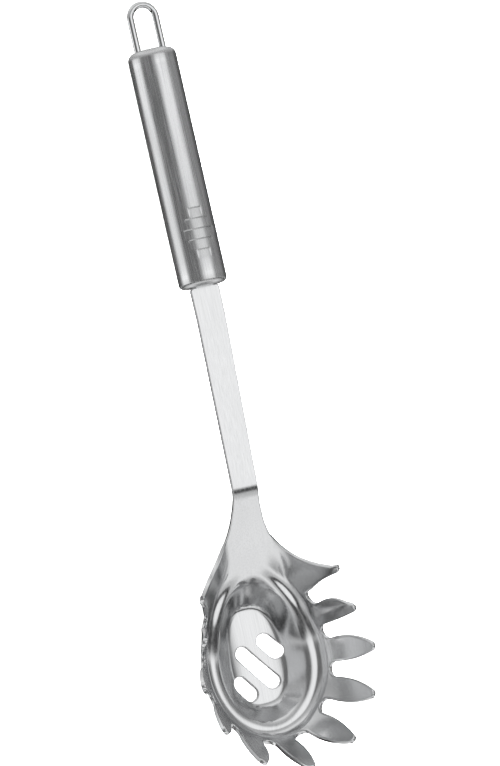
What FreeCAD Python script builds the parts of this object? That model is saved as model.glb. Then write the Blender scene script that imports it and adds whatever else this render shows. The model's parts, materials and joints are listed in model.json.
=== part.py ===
import FreeCAD, Part
import math
import os
from types import SimpleNamespace

import Sketcher
from FreeCAD import Placement, Rotation, Vector

# Driving dimensions: lengths in millimetres, angles in degrees.
# Handle frame: the axis of the handle is Y, the strap leaves it at y = 0 towards -Y, the front is +Z.
DIMENSIONS = {
    # Handle tube, its end caps and the flush seams between them
    "handle_length": 102.0,
    "tube_diameter": 20.7,
    "tube_wall": 1.0,
    "cap_skirt": 2.0,
    "cap_dome": 0.8,
    "strap_edge_radius": 2.4,
    "loop_edge_radius": 3.5,
    "seam_face_width": 1.6,
    "seam_root_width": 0.6,
    # Grip ribs pressed into the front of the tube
    "rib_first": 14.4,
    "rib_pitch": 4.4,
    "rib_width": 2.4,
    "rib_depth": 0.5,
    "rib_end_span": 34.6,
    "rib_inner_span": 73.0,
    "rib_middle_span": 92.0,
    # Hanging loop
    "wire_diameter": 3.0,
    "loop_leg_spacing": 11.3,
    "loop_height": 20.8,
    "loop_leg_inside": 6.0,
    "loop_hole_clearance": 0.1,
    "leg_bead": 1.4,
    # Strap and tang
    "sheet": 2.0,
    "tang_width": 8.6,
    "tang_length": 12.0,
    "tang_clearance": 0.15,
    "tang_bead": 1.6,
    "strap_width": 13.0,
    "shoulder_corner_radius": 1.7,
    "strap_straight": 14.0,
    "strap_lean": 4.8,
    "fold_reach": 88.0,
    "fold_width": 11.5,
    # Neck
    "neck_slope": 30.0,
    "neck_reach": 72.7,
    "neck_join": 53.0,
    "neck_flare_radius": 44.0,
    "neck_flat_angle": 10.0,
    "wing_angle": 45.0,
    # Bowl, measured from its centre towards the far end, the sides and the neck
    "bowl_depth": 41.0,
    "floor_far": 17.6,
    "floor_side": 15.0,
    "floor_near": 25.2,
    "floor_squareness": 3.2,
    "floor_blend": 1.4,
    "shoulder_far": 25.6,
    "shoulder_side": 20.6,
    "shoulder_near": 35.7,
    "shoulder_far_drop": 33.6,
    "shoulder_side_drop": 31.5,
    "flange_width": 5.3,
    "flange_rise": 0.4,
    # Tines
    "tip_far": 44.6,
    "tip_side": 38.1,
    "tip_back": 32.0,
    "wing_near": 55.0,
    "tip_spare": 3.0,
    "tip_width": 4.6,
    "tine_one_angle": 28.0,
    "tine_two_angle": 57.0,
    "tine_three_angle": 87.0,
    "tine_four_angle": 115.0,
    "wing_tip_angle": 138.5,
    "gap_one_angle": 12.5,
    "gap_two_angle": 42.0,
    "gap_three_angle": 72.5,
    "gap_four_angle": 105.0,
    "gap_wing_angle": 134.0,
    "gap_far_drop": 28.8,
    "gap_near_drop": 26.9,
    "gap_wing_drop": 24.5,
    "gap_radius": 3.1,
    # Drain slots
    "slot_offset": 1.3,
    "slot_angle": 37.0,
    "slot_pitch": 10.5,
    "slot_stagger": 1.8,
    "slot_width": 6.4,
    "slot_long": 24.0,
    "slot_short": 13.0,
}

PROFILE_DEGREE = 2
RING_DEGREE = 3
RING_STATIONS = 36
WALL_SHARE = 0.7
TINE_SHARE = 0.25
NECK_SOFTNESS = 0.1


class Size:
    """A length or angle, held as its number and as the expression on the sheet that gives it."""

    def __init__(self, value, text):
        self.value = value
        self.text = text

    def combine(self, sign, other, value):
        other_text = other.text if isinstance(other, Size) else str(other)
        return Size(value, f"({self.text} {sign} {other_text})")

    def __add__(self, other):
        return self.combine("+", other, self.value + number(other))

    def __sub__(self, other):
        return self.combine("-", other, self.value - number(other))

    def __mul__(self, other):
        return self.combine("*", other, self.value * number(other))

    def __truediv__(self, other):
        return self.combine("/", other, self.value / number(other))

    def __neg__(self):
        return Size(-self.value, f"(-1 * {self.text})")


def number(size):
    return size.value if isinstance(size, Size) else size


def fill_sheet(doc):
    """Writes the driving dimensions to a sheet, one named cell each."""
    sheet = doc.addObject("Spreadsheet::Sheet", "sizes")
    for row, (name, value) in enumerate(DIMENSIONS.items(), start=1):
        sheet.set(f"A{row}", name)
        sheet.set(f"B{row}", str(value))
        sheet.setAlias(f"B{row}", name)
    doc.recompute()
    return sheet


doc = FreeCAD.newDocument("pasta_server")
sheet = fill_sheet(doc)
mm = SimpleNamespace(**{name: sheet.get(name) for name in DIMENSIONS})
dim = SimpleNamespace(**{name: Size(sheet.get(name), f"sizes.{name}") for name in DIMENSIONS})
ZERO = Size(0.0, "0")


# Sketch helpers

def new_body(label):
    body = doc.addObject("PartDesign::Body", label)
    body.Label = label
    return body


def new_sketch(body, name, plane_role, offset=None):
    """A sketch on one of the body's own origin planes, moved along the plane's normal by an offset."""
    sketch = body.newObject("Sketcher::SketchObject", name)
    plane = next(item for item in body.Origin.OriginFeatures if item.Role == plane_role)
    sketch.AttachmentSupport = (plane, "")
    sketch.MapMode = "FlatFace"
    if offset is not None:
        sketch.setExpression("AttachmentOffset.Base.z", offset.text)
    return sketch


def place_point(sketch, curve, end, across, up):
    """Ties one end of a curve to its distances from the sketch's origin."""
    for kind, size in (("DistanceX", across), ("DistanceY", up)):
        index = sketch.addConstraint(Sketcher.Constraint(kind, -1, 1, curve, end, size.value))
        sketch.setExpression(f"Constraints[{index}]", size.text)


def add_polygon(sketch, corners):
    """Adds a closed outline of straight lines through corners given as pairs of sizes."""
    points = [Vector(across.value, up.value, 0) for across, up in corners]
    following = points[1:] + points[:1]
    curves = [sketch.addGeometry(Part.LineSegment(a, b)) for a, b in zip(points, following)]
    for curve, next_curve in zip(curves, curves[1:] + curves[:1]):
        sketch.addConstraint(Sketcher.Constraint("Coincident", curve, 2, next_curve, 1))
    for curve, (across, up) in zip(curves, corners):
        place_point(sketch, curve, 1, across, up)


def add_circle(sketch, across, up, radius):
    curve = sketch.addGeometry(Part.Circle(Vector(across.value, up.value, 0), Vector(0, 0, 1), radius.value))
    place_point(sketch, curve, 3, across, up)
    index = sketch.addConstraint(Sketcher.Constraint("Radius", curve, radius.value))
    sketch.setExpression(f"Constraints[{index}]", radius.text)


def revolve(body, sketch, name, kind="PartDesign::Revolution"):
    """Turns a sketch about its own horizontal axis, which is the handle's axis."""
    feature = body.newObject(kind, name)
    feature.Profile = sketch
    feature.ReferenceAxis = (sketch, ["H_Axis"])
    sketch.Visibility = False
    return feature


def turned_body(label, corners):
    """A body turned about the Y axis from corners given as (along the axis, radius)."""
    body = new_body(label)
    sketch = new_sketch(body, label + "_section", "YZ_Plane")
    add_polygon(sketch, corners)
    revolve(body, sketch, label + "_turning").Angle = 360
    return body


def cut_through(body, sketch, name):
    """Cuts a sketch through the whole body, both ways from its plane."""
    pocket = body.newObject("PartDesign::Pocket", name)
    pocket.Profile = sketch
    pocket.Type = "ThroughAll"
    pocket.Midplane = True
    return pocket


def round_circle(body, name, circle_radius, station, fillet_radius):
    """Rounds the circular edge that has this radius at this place along the axis."""
    doc.recompute()
    base = body.Tip
    names = []
    for index, edge in enumerate(base.Shape.Edges, start=1):
        if edge.Degenerated:
            continue
        curve = edge.Curve
        if isinstance(curve, Part.Circle):
            same_radius = abs(curve.Radius - circle_radius.value) < 1e-4
            same_station = abs(curve.Center.y - station.value) < 1e-4
            if same_radius and same_station:
                names.append(f"Edge{index}")
    fillet = body.newObject("PartDesign::Fillet", name)
    fillet.Base = (base, names)
    fillet.setExpression("Radius", fillet_radius.text)
    return fillet


# Sizes that several pieces share

TUBE_RADIUS = dim.tube_diameter / 2
BORE_RADIUS = TUBE_RADIUS - dim.tube_wall
SEAM_FLARE = (dim.seam_face_width - dim.seam_root_width) / 2
STRAP_CAP_END = dim.strap_edge_radius + dim.cap_skirt
LOOP_CAP_END = dim.handle_length - dim.cap_dome - dim.loop_edge_radius - dim.cap_skirt
LOOP_CAP_FACE = dim.handle_length - dim.cap_dome - dim.tube_wall
TUBE_START = STRAP_CAP_END + dim.seam_root_width
TUBE_END = LOOP_CAP_END - dim.seam_root_width
WIRE_RADIUS = dim.wire_diameter / 2
LEG_OFFSET = dim.loop_leg_spacing / 2


# Handle

def make_handle_tube():
    """Tube with bevelled ends for the seams and five saw-tooth grip ribs."""
    body = turned_body("handle_tube", [
        (TUBE_START + SEAM_FLARE, TUBE_RADIUS),
        (TUBE_END - SEAM_FLARE, TUBE_RADIUS),
        (TUBE_END, BORE_RADIUS),
        (TUBE_START, BORE_RADIUS),
    ])
    spans = [dim.rib_end_span, dim.rib_inner_span, dim.rib_middle_span, dim.rib_inner_span, dim.rib_end_span]
    for index, span in enumerate(spans):
        wall = dim.rib_first + dim.rib_pitch * index
        sketch = new_sketch(body, f"rib_{index}_section", "YZ_Plane")
        add_polygon(sketch, [
            (wall, TUBE_RADIUS + dim.rib_depth),
            (wall, TUBE_RADIUS - dim.rib_depth),
            (wall - dim.rib_width * 2, TUBE_RADIUS + dim.rib_depth),
        ])
        groove = revolve(body, sketch, f"rib_{index}", "PartDesign::Groove")
        groove.Midplane = True
        groove.setExpression("Angle", span.text)
    return body


def make_strap_end_cap():
    """Flat cap with a rounded edge and the slot for the tang."""
    body = turned_body("strap_end_cap", [
        (ZERO, ZERO),
        (ZERO, TUBE_RADIUS),
        (STRAP_CAP_END - SEAM_FLARE, TUBE_RADIUS),
        (STRAP_CAP_END, BORE_RADIUS),
        (dim.tube_wall, BORE_RADIUS),
        (dim.tube_wall, ZERO),
    ])
    inner_edge_radius = dim.strap_edge_radius - dim.tube_wall
    round_circle(body, "strap_cap_edge", TUBE_RADIUS, ZERO, dim.strap_edge_radius)
    round_circle(body, "strap_cap_inner_edge", BORE_RADIUS, dim.tube_wall, inner_edge_radius)
    half_width = dim.tang_width / 2 + dim.tang_clearance
    half_height = dim.sheet / 2 + dim.tang_clearance
    sketch = new_sketch(body, "tang_slot_outline", "XZ_Plane")
    add_polygon(sketch, [
        (half_width, half_height),
        (-half_width, half_height),
        (-half_width, -half_height),
        (half_width, -half_height),
    ])
    cut_through(body, sketch, "tang_slot")
    return body


def make_loop_end_cap():
    """Cap with a domed outer face, a flat inner face and two holes for the legs of the loop."""
    body = new_body("loop_end_cap")
    sketch = new_sketch(body, "loop_cap_section", "YZ_Plane")
    corners = [
        (dim.handle_length, ZERO),
        (dim.handle_length - dim.cap_dome, TUBE_RADIUS),
        (LOOP_CAP_END + SEAM_FLARE, TUBE_RADIUS),
        (LOOP_CAP_END, BORE_RADIUS),
        (LOOP_CAP_FACE, BORE_RADIUS),
        (LOOP_CAP_FACE, ZERO),
    ]
    add_domed_outline(sketch, corners)
    revolve(body, sketch, "loop_cap_turning").Angle = 360
    round_circle(body, "loop_cap_edge", TUBE_RADIUS, corners[1][0], dim.loop_edge_radius)
    holes = new_sketch(body, "leg_hole_outline", "XZ_Plane")
    for offset in (LEG_OFFSET, -LEG_OFFSET):
        add_circle(holes, offset, ZERO, WIRE_RADIUS + dim.loop_hole_clearance)
    cut_through(body, holes, "leg_holes")
    return body


def add_domed_outline(sketch, corners):
    """Closed outline whose first side is an arc centred on the horizontal axis, the rest straight."""
    points = [Vector(across.value, up.value, 0) for across, up in corners]
    apex, edge = points[0], points[1]
    rise = apex.x - edge.x
    dome_radius = (edge.y ** 2 + rise ** 2) / (2 * rise)
    centre = Vector(apex.x - dome_radius, 0, 0)
    circle = Part.Circle(centre, Vector(0, 0, 1), dome_radius)
    curves = [sketch.addGeometry(Part.ArcOfCircle(circle, 0, math.asin(edge.y / dome_radius)))]
    for a, b in zip(points[1:], points[2:] + points[:1]):
        curves.append(sketch.addGeometry(Part.LineSegment(a, b)))
    for curve, next_curve in zip(curves, curves[1:] + curves[:1]):
        sketch.addConstraint(Sketcher.Constraint("Coincident", curve, 2, next_curve, 1))
    sketch.addConstraint(Sketcher.Constraint("PointOnObject", curves[0], 3, -1))
    for curve, (across, up) in zip(curves, corners):
        place_point(sketch, curve, 1, across, up)


def make_seam(label, root_start):
    """Ring of weld that fills the bevelled joint between a cap and the tube, flush outside."""
    root_end = root_start + dim.seam_root_width
    return turned_body(label, [
        (root_start - SEAM_FLARE, TUBE_RADIUS),
        (root_end + SEAM_FLARE, TUBE_RADIUS),
        (root_end, BORE_RADIUS),
        (root_start, BORE_RADIUS),
    ])


# Hanging loop

def make_hanging_loop():
    """Wire loop: a half ring on two straight legs that run through the cap."""
    body = new_body("hanging_loop")
    spring_line = dim.handle_length + dim.loop_height - LEG_OFFSET - WIRE_RADIUS
    arch_section = new_sketch(body, "arch_section", "XZ_Plane", -spring_line)
    add_circle(arch_section, LEG_OFFSET, ZERO, WIRE_RADIUS)
    arch = body.newObject("PartDesign::Revolution", "arch")
    arch.Profile = arch_section
    arch.ReferenceAxis = (arch_section, ["V_Axis"])
    arch.Angle = 180
    legs_section = new_sketch(body, "legs_section", "XZ_Plane", -spring_line)
    for offset in (LEG_OFFSET, -LEG_OFFSET):
        add_circle(legs_section, offset, ZERO, WIRE_RADIUS)
    legs = body.newObject("PartDesign::Pad", "legs")
    legs.Profile = legs_section
    legs.setExpression("Length", (spring_line - LOOP_CAP_FACE + dim.loop_leg_inside).text)
    return body


def make_leg_weld(label):
    """Ring bead round a wire leg, on the inner face of the loop end cap."""
    return turned_body(label, [
        (LOOP_CAP_FACE, WIRE_RADIUS),
        (LOOP_CAP_FACE, WIRE_RADIUS + dim.leg_bead),
        (LOOP_CAP_FACE - dim.leg_bead, WIRE_RADIUS),
    ])


def make_tang_weld(label, side):
    """Bead along one broad face of the tang, on the inner face of the strap end cap."""
    body = new_body(label)
    sketch = new_sketch(body, label + "_section", "YZ_Plane")
    face = dim.sheet / 2
    add_polygon(sketch, [
        (dim.tube_wall, face * side),
        (dim.tube_wall + dim.tang_bead, face * side),
        (dim.tube_wall, (face + dim.tang_bead) * side),
    ])
    pad = body.newObject("PartDesign::Pad", label + "_length")
    pad.Profile = sketch
    pad.Midplane = True
    pad.setExpression("Length", dim.tang_width.text)
    return body


# Server head: one sheet, from the tang to the tips of the tines

BOWL_REACH = mm.fold_reach + mm.neck_reach
FOLD_TOP = mm.sheet / 2 - (mm.fold_reach - mm.strap_straight) * math.tan(math.radians(mm.strap_lean))
NECK_GRADE = math.tan(math.radians(mm.neck_slope))


def neck_height(reach):
    """Height of the neck's front face at a distance from the handle."""
    return FOLD_TOP - (reach - mm.fold_reach) * NECK_GRADE


def oval(angle, far, side, near, squareness=2.0):
    """Radius of an egg-shaped oval at an angle from its far end; above 2 it is squarer."""
    end = far if math.cos(angle) > 0 else near
    across = abs(math.sin(angle) / side) ** squareness
    along = abs(math.cos(angle) / end) ** squareness
    return (across + along) ** (-1 / squareness)


def blend(start, end, share):
    return start + (end - start) * share


def blend_point(start, end, share):
    return tuple(blend(a, b, share) for a, b in zip(start, end))


def clamp(share):
    return min(max(share, 0.0), 1.0)


def tip_oval(angle):
    """Radius of the outline through the tips: an oval round the tines that widens into the wings."""
    tines = oval(angle, mm.tip_far, mm.tip_side, mm.tip_back)
    wings = oval(angle, mm.tip_far, mm.tip_side, mm.wing_near)
    share = clamp((math.degrees(angle) - mm.tine_four_angle) / (mm.gap_wing_angle - mm.tine_four_angle))
    return blend(tines, wings, math.sin(math.pi / 2 * share) ** 2)


def head_profile(angle):
    """Corners (radius, height) of the sheet's front face on a half plane through the bowl's centre."""
    toward_neck = 180 - math.degrees(angle)
    wing_share = clamp((toward_neck - mm.neck_flat_angle) / (mm.wing_angle - mm.neck_flat_angle))
    soft_share = wing_share ** 2 * (1 + NECK_SOFTNESS) / (wing_share + NECK_SOFTNESS)
    upright = math.sin(math.pi / 2 * soft_share)

    def neck_at(radius):
        return neck_height(BOWL_REACH + radius * math.cos(angle))

    floor_radius = oval(angle, mm.floor_far, mm.floor_side, mm.floor_near, mm.floor_squareness)
    shoulder_radius = oval(angle, mm.shoulder_far, mm.shoulder_side, mm.shoulder_near)
    near_height = neck_height(BOWL_REACH - mm.shoulder_near)
    end_height = -mm.shoulder_far_drop if math.cos(angle) > 0 else near_height
    shoulder_height = blend(-mm.shoulder_side_drop, end_height, math.cos(angle) ** 2)
    root_radius = shoulder_radius + mm.flange_width
    root_height = blend(neck_at(root_radius), shoulder_height + mm.flange_rise, upright)
    tip_radius = tip_oval(angle)
    spare_radius = tip_radius + mm.tip_spare * (tip_radius - root_radius) / mm.shoulder_side_drop
    tip_height = blend(neck_at(spare_radius), mm.tip_spare, upright)

    floor_edge = (floor_radius - mm.floor_blend, -mm.bowl_depth)
    foot = (floor_radius, -mm.bowl_depth)
    shoulder = (shoulder_radius, shoulder_height)
    foot_share = 2 * mm.floor_blend / math.dist(foot, shoulder)
    root = (root_radius, root_height)
    tip = (spare_radius, tip_height)
    foot_top = blend_point(foot, shoulder, foot_share)
    wall = blend_point(foot, shoulder, WALL_SHARE)
    tine = blend_point(root, tip, TINE_SHARE)
    return [floor_edge, foot, foot_top, wall, shoulder, root, tine, tip]


def polar_point(angle, radius, height):
    return Vector(radius * math.sin(angle), -BOWL_REACH - radius * math.cos(angle), height)


def clamped_knots(rows):
    """Knots and multiplicities of a clamped, evenly spaced spline across the rows."""
    spans = rows - PROFILE_DEGREE
    knots = [index / spans for index in range(spans + 1)]
    mults = [PROFILE_DEGREE + 1] + [1] * (spans - 1) + [PROFILE_DEGREE + 1]
    return knots, mults


def ring_surface(rows):
    """Smooth surface shaped by closed rings of points, each ring passing through its points."""
    steps = list(range(RING_STATIONS + 1))
    rings = []
    for row in rows:
        ring = Part.BSplineCurve()
        ring.interpolate(Points=row, PeriodicFlag=True, Parameters=steps)
        rings.append(ring)
    poles = [list(column) for column in zip(*(ring.getPoles() for ring in rings))]
    knots, mults = clamped_knots(len(rows))
    surface = Part.BSplineSurface()
    surface.buildFromPolesMultsKnots(
        poles, rings[0].getMultiplicities(), mults, rings[0].getKnots(), knots,
        True, False, RING_DEGREE, PROFILE_DEGREE)
    return surface


def row_parameters(rows):
    """Place of each row along the profile: the mean of the knots that its pole spans."""
    spans = rows - PROFILE_DEGREE
    flat = [0.0] * PROFILE_DEGREE + [index / spans for index in range(spans + 1)] + [1.0] * PROFILE_DEGREE
    return [sum(flat[row + 1:row + 1 + PROFILE_DEGREE]) / PROFILE_DEGREE for row in range(rows)]


def head_surfaces():
    """Front face of the dished sheet, and its back face one sheet thickness behind it."""
    angles = [2 * math.pi * step / RING_STATIONS for step in range(RING_STATIONS)]
    folded = [min(angle, 2 * math.pi - angle) for angle in angles]
    profiles = [head_profile(angle) for angle in folded]
    row_count = len(profiles[0])
    front_rows = [
        [polar_point(angle, *profile[row]) for angle, profile in zip(angles, profiles)]
        for row in range(row_count)
    ]
    front = ring_surface(front_rows)
    back_rows = []
    for row, along in enumerate(row_parameters(row_count)):
        normals = [front.normal(step, along) for step in range(RING_STATIONS)]
        back_rows.append([
            point - normal * math.copysign(mm.sheet, normal.z)
            for point, normal in zip(front_rows[row], normals)
        ])
    return front, ring_surface(back_rows)


def closed_sheet(front, back):
    """Solid between the front and back faces, with a flat floor and a ruled rim."""
    faces = [front.toShape(), back.toShape()]
    first, last = 0.0, 1.0
    for surface in (front, back):
        floor_edge = surface.vIso(first).toShape()
        faces.append(Part.Face(Part.Wire([floor_edge])))
    faces.append(Part.makeRuledSurface(front.vIso(last).toShape(), back.vIso(last).toShape()))
    shell = Part.makeShell(faces)
    shell.sewShape()
    solid = Part.makeSolid(shell)
    if solid.Volume < 0:
        solid.reverse()
    return solid


def gap_cutter(angle_deg, left_deg, right_deg, drop):
    """Tool for one gap: round at the bottom, widening up to the rounded tips of the tines beside it."""
    angle = math.radians(angle_deg)
    round_radius = mm.tip_width / 2
    spring_height = mm.gap_radius - drop
    rise = -round_radius - spring_height
    top = 2 * mm.tip_spare
    radial = Vector(math.sin(angle), -math.cos(angle), 0)
    tangent = Vector(math.cos(angle), math.sin(angle), 0)
    start_radius = oval(angle, mm.shoulder_far, mm.shoulder_side, mm.shoulder_near) + mm.flange_width / 4
    origin = Vector(0, -BOWL_REACH, 0) + radial * start_radius

    def at(across, height):
        return origin + tangent * across + Vector(0, 0, height)

    def half_outline(tine_deg):
        """Points up the side of the tine beside the gap, whose arc leaves the gap's round bottom
        upright and runs smoothly into the round tip, then past the middle of the tine."""
        tine = math.radians(tine_deg)
        middle = tip_oval(tine) * math.sin(tine - angle)
        sign = math.copysign(1, middle)
        past_middle = middle + sign * round_radius
        reach = abs(middle) - mm.gap_radius
        side_radius = (reach ** 2 + rise ** 2 - round_radius ** 2) / (2 * (reach - round_radius))
        side_turn = math.atan(rise / (side_radius - reach))
        tip_turn = (side_turn + math.pi / 2) / 2

        def on_side(turn):
            across = mm.gap_radius + side_radius * (1 - math.cos(turn))
            return at(sign * across, spring_height + side_radius * math.sin(turn))

        return [
            on_side(0),
            on_side(side_turn / 2),
            on_side(side_turn),
            at(middle - sign * round_radius * math.cos(tip_turn), round_radius * (math.sin(tip_turn) - 1)),
            at(middle, 0),
            at(past_middle, 0),
            at(past_middle, top),
        ]

    left = half_outline(left_deg)
    right = half_outline(right_deg)
    edges = [Part.Arc(left[0], at(0, -drop), right[0])]
    for side in (left, right):
        edges.append(Part.Arc(side[0], side[1], side[2]))
        edges.append(Part.Arc(side[2], side[3], side[4]))
        edges += [Part.LineSegment(a, b) for a, b in zip(side[4:], side[5:])]
    edges.append(Part.LineSegment(left[-1], right[-1]))
    ordered = Part.__sortEdges__([edge.toShape() for edge in edges])
    return Part.Face(Part.Wire(ordered)).extrude(radial * BOWL_REACH)


def gap_cutters():
    side_tines = [mm.tine_one_angle, mm.tine_two_angle, mm.tine_three_angle, mm.tine_four_angle]
    tines = [0.0] + side_tines + [mm.wing_tip_angle]
    gaps = [mm.gap_one_angle, mm.gap_two_angle, mm.gap_three_angle, mm.gap_four_angle, mm.gap_wing_angle]
    drops = [mm.gap_far_drop] * 2 + [mm.gap_near_drop] * 2 + [mm.gap_wing_drop]
    cutters = []
    for angle, left, right, drop in zip(gaps, tines, tines[1:], drops):
        cutter = gap_cutter(angle, left, right, drop)
        cutters += [cutter, cutter.mirror(Vector(0, 0, 0), Vector(1, 0, 0))]
    return cutters


def slot_cutters():
    """Tools for the three slanted drain slots, side by side through the floor."""
    radius = mm.slot_width / 2
    deep = 3 * mm.sheet
    cutters = []
    for step, length in ((-1, mm.slot_short), (0, mm.slot_long), (1, mm.slot_short)):
        side = step * mm.slot_pitch
        high = step * mm.slot_stagger + length / 2 - radius
        low = step * mm.slot_stagger - length / 2 + radius
        ends = [
            Vector(side - radius, low, 0),
            Vector(side - radius, high, 0),
            Vector(side + radius, high, 0),
            Vector(side + radius, low, 0),
        ]
        edges = [
            Part.LineSegment(ends[0], ends[1]),
            Part.Arc(ends[1], Vector(side, high + radius, 0), ends[2]),
            Part.LineSegment(ends[2], ends[3]),
            Part.Arc(ends[3], Vector(side, low - radius, 0), ends[0]),
        ]
        outline = Part.Face(Part.Wire([edge.toShape() for edge in edges]))
        cutter = outline.extrude(Vector(0, 0, 2 * deep))
        below_middle = Vector(0, -BOWL_REACH - mm.slot_offset, -mm.bowl_depth - deep)
        cutter.Placement = Placement(below_middle, Rotation(Vector(0, 0, 1), mm.slot_angle))
        cutters.append(cutter)
    return cutters


def flare_cutters(depth):
    """Upright cylinders that give the neck and the wings their hollow side curve."""
    offset = mm.fold_width / 2 + mm.neck_flare_radius
    return [
        Part.makeCylinder(mm.neck_flare_radius, 2 * depth, Vector(side * offset, -mm.fold_reach, -depth))
        for side in (-1, 1)
    ]


NECK_END_REACH = BOWL_REACH - mm.neck_join
NECK_END = Vector(0, -NECK_END_REACH, neck_height(NECK_END_REACH))


def neck_end_cutter(span):
    """Block that removes the dished sheet on the handle's side of the flat neck's end."""
    box = Part.makeBox(2 * span, span, 2 * span, Vector(-span, 0, -span))
    box.Placement = Placement(NECK_END, Rotation(Vector(1, 0, 0), mm.neck_slope))
    return box


def thick_path(points, thickness):
    """Closed outline of a sheet whose front face follows the points, with mitred corners behind."""
    normals = []
    for a, b in zip(points, points[1:]):
        along = (b - a).normalize()
        normals.append(Vector(0, -along.z, along.y))
    mitres = [normals[0]]
    for n1, n2 in zip(normals, normals[1:]):
        mitres.append((n1 + n2) * (1 / (1 + n1.dot(n2))))
    mitres.append(normals[-1])
    behind = [point + mitre * thickness for point, mitre in zip(points, mitres)]
    return points + behind[::-1]


def strap_and_neck(span):
    """Tang, strap and flat neck: the bent sheet, trimmed to its outline as seen from the front."""
    front = mm.sheet / 2
    path = [
        Vector(-span, mm.tang_length, front),
        Vector(-span, -mm.strap_straight, front),
        Vector(-span, -mm.fold_reach, FOLD_TOP),
        Vector(-span, NECK_END.y, NECK_END.z),
    ]
    section = thick_path(path, mm.sheet)
    sheet_strip = Part.Face(Part.makePolygon(section + section[:1])).extrude(Vector(2 * span, 0, 0))

    tang, strap, fold = mm.tang_width / 2, mm.strap_width / 2, mm.fold_width / 2
    corner = mm.shoulder_corner_radius
    diagonal = corner * (1 - math.sin(math.pi / 4))
    beyond = -BOWL_REACH
    edges = []
    for side in (-1, 1):
        inner = [
            Vector(0, mm.tang_length, 0),
            Vector(side * tang, mm.tang_length, 0),
            Vector(side * tang, 0, 0),
            Vector(side * (strap - corner), 0, 0),
        ]
        outer = [
            Vector(side * strap, -corner, 0),
            Vector(side * fold, -mm.fold_reach, 0),
            Vector(side * span, -mm.fold_reach, 0),
            Vector(side * span, beyond, 0),
            Vector(0, beyond, 0),
        ]
        rounded = Vector(side * (strap - diagonal), -diagonal, 0)
        edges += [Part.LineSegment(a, b) for a, b in zip(inner, inner[1:])]
        edges.append(Part.Arc(inner[-1], rounded, outer[0]))
        edges += [Part.LineSegment(a, b) for a, b in zip(outer, outer[1:])]
    outline = Part.Face(Part.Wire(Part.__sortEdges__([edge.toShape() for edge in edges])))
    outline.translate(Vector(0, 0, -span))
    return sheet_strip.common(outline.extrude(Vector(0, 0, 2 * span)))


def make_server_head(front, back):
    span = BOWL_REACH / 2
    dish = closed_sheet(front, back)
    for cutter in gap_cutters() + slot_cutters() + [neck_end_cutter(span)]:
        dish = dish.cut(cutter)
    whole = dish.fuse(strap_and_neck(span))
    return whole.cut(flare_cutters(span)).removeSplitter().Solids[0]


# Rest pose: the part lies on its back, on the heel of the bowl and the loop end of the handle

def rest_placement(back):
    heel = [back.value(RING_STATIONS / 2, step / RING_STATIONS) for step in range(RING_STATIONS + 1)]
    edge_radius = mm.loop_edge_radius
    edge_centre = Vector(0, mm.handle_length - mm.cap_dome - edge_radius, edge_radius - mm.tube_diameter / 2)

    def height(point, tilt):
        return point.y * math.sin(tilt) + point.z * math.cos(tilt)

    def heel_above_handle(tilt):
        return min(height(point, tilt) for point in heel) - height(edge_centre, tilt) + edge_radius

    low, high = math.radians(-30), 0.0
    for halving in range(40):
        middle = (low + high) / 2
        if heel_above_handle(middle) > 0:
            low = middle
        else:
            high = middle
    lift = edge_radius - height(edge_centre, low)
    wire_radius = mm.wire_diameter / 2
    loop_end = (mm.handle_length + mm.loop_height - wire_radius) * math.cos(low) + wire_radius
    far_end = -(BOWL_REACH + mm.tip_far + mm.sheet) * math.cos(low)
    middle = (loop_end + far_end) / 2
    return Placement(Vector(0, -middle, lift), Rotation(Vector(1, 0, 0), math.degrees(low)))


# The whole part

front_face, back_face = head_surfaces()
rest = rest_placement(back_face)

sub_parts = [
    make_handle_tube(),
    make_strap_end_cap(),
    make_loop_end_cap(),
    make_seam("strap_cap_seam_weld", STRAP_CAP_END),
    make_seam("loop_cap_seam_weld", TUBE_END),
    make_hanging_loop(),
    make_tang_weld("tang_weld_front", 1),
    make_tang_weld("tang_weld_back", -1),
]
for sub_part in sub_parts:
    sub_part.Placement = rest

for label, side in (("loop_leg_weld_left", -1), ("loop_leg_weld_right", 1)):
    weld = make_leg_weld(label)
    weld.Placement = rest.multiply(Placement(Vector(side * LEG_OFFSET.value, 0, 0), Rotation()))
    sub_parts.append(weld)

server_head = doc.addObject("Part::Feature", "server_head")
server_head.Label = "server_head"
server_head.Shape = make_server_head(front_face, back_face)
server_head.Placement = rest
sub_parts.append(server_head)

doc.recompute()

for item in doc.Objects:
    if "Invalid" in item.State or "Error" in item.State:
        raise RuntimeError(f"{item.Name} failed: {item.State}")
for sub_part in sub_parts:
    shape = sub_part.Shape
    if shape.isNull() or not shape.isValid() or len(shape.Solids) != 1:
        raise RuntimeError(f"{sub_part.Label} is not one valid solid")

os.makedirs("parts", exist_ok=True)
for sub_part in sub_parts:
    sub_part.Shape.exportStep(f"parts/{sub_part.Label}.step")
    box = sub_part.Shape.BoundBox
    spans = f"{box.XLength:.1f} x {box.YLength:.1f} x {box.ZLength:.1f} mm"
    print(f"{sub_part.Label}: {sub_part.Shape.Volume:.1f} mm3, {spans}")
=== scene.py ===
"""Looks of the pasta server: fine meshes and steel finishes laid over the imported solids."""
import json
import math

import bmesh
import bpy
from mathutils import Matrix, Vector
from mathutils.geometry import delaunay_2d_cdt


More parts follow.
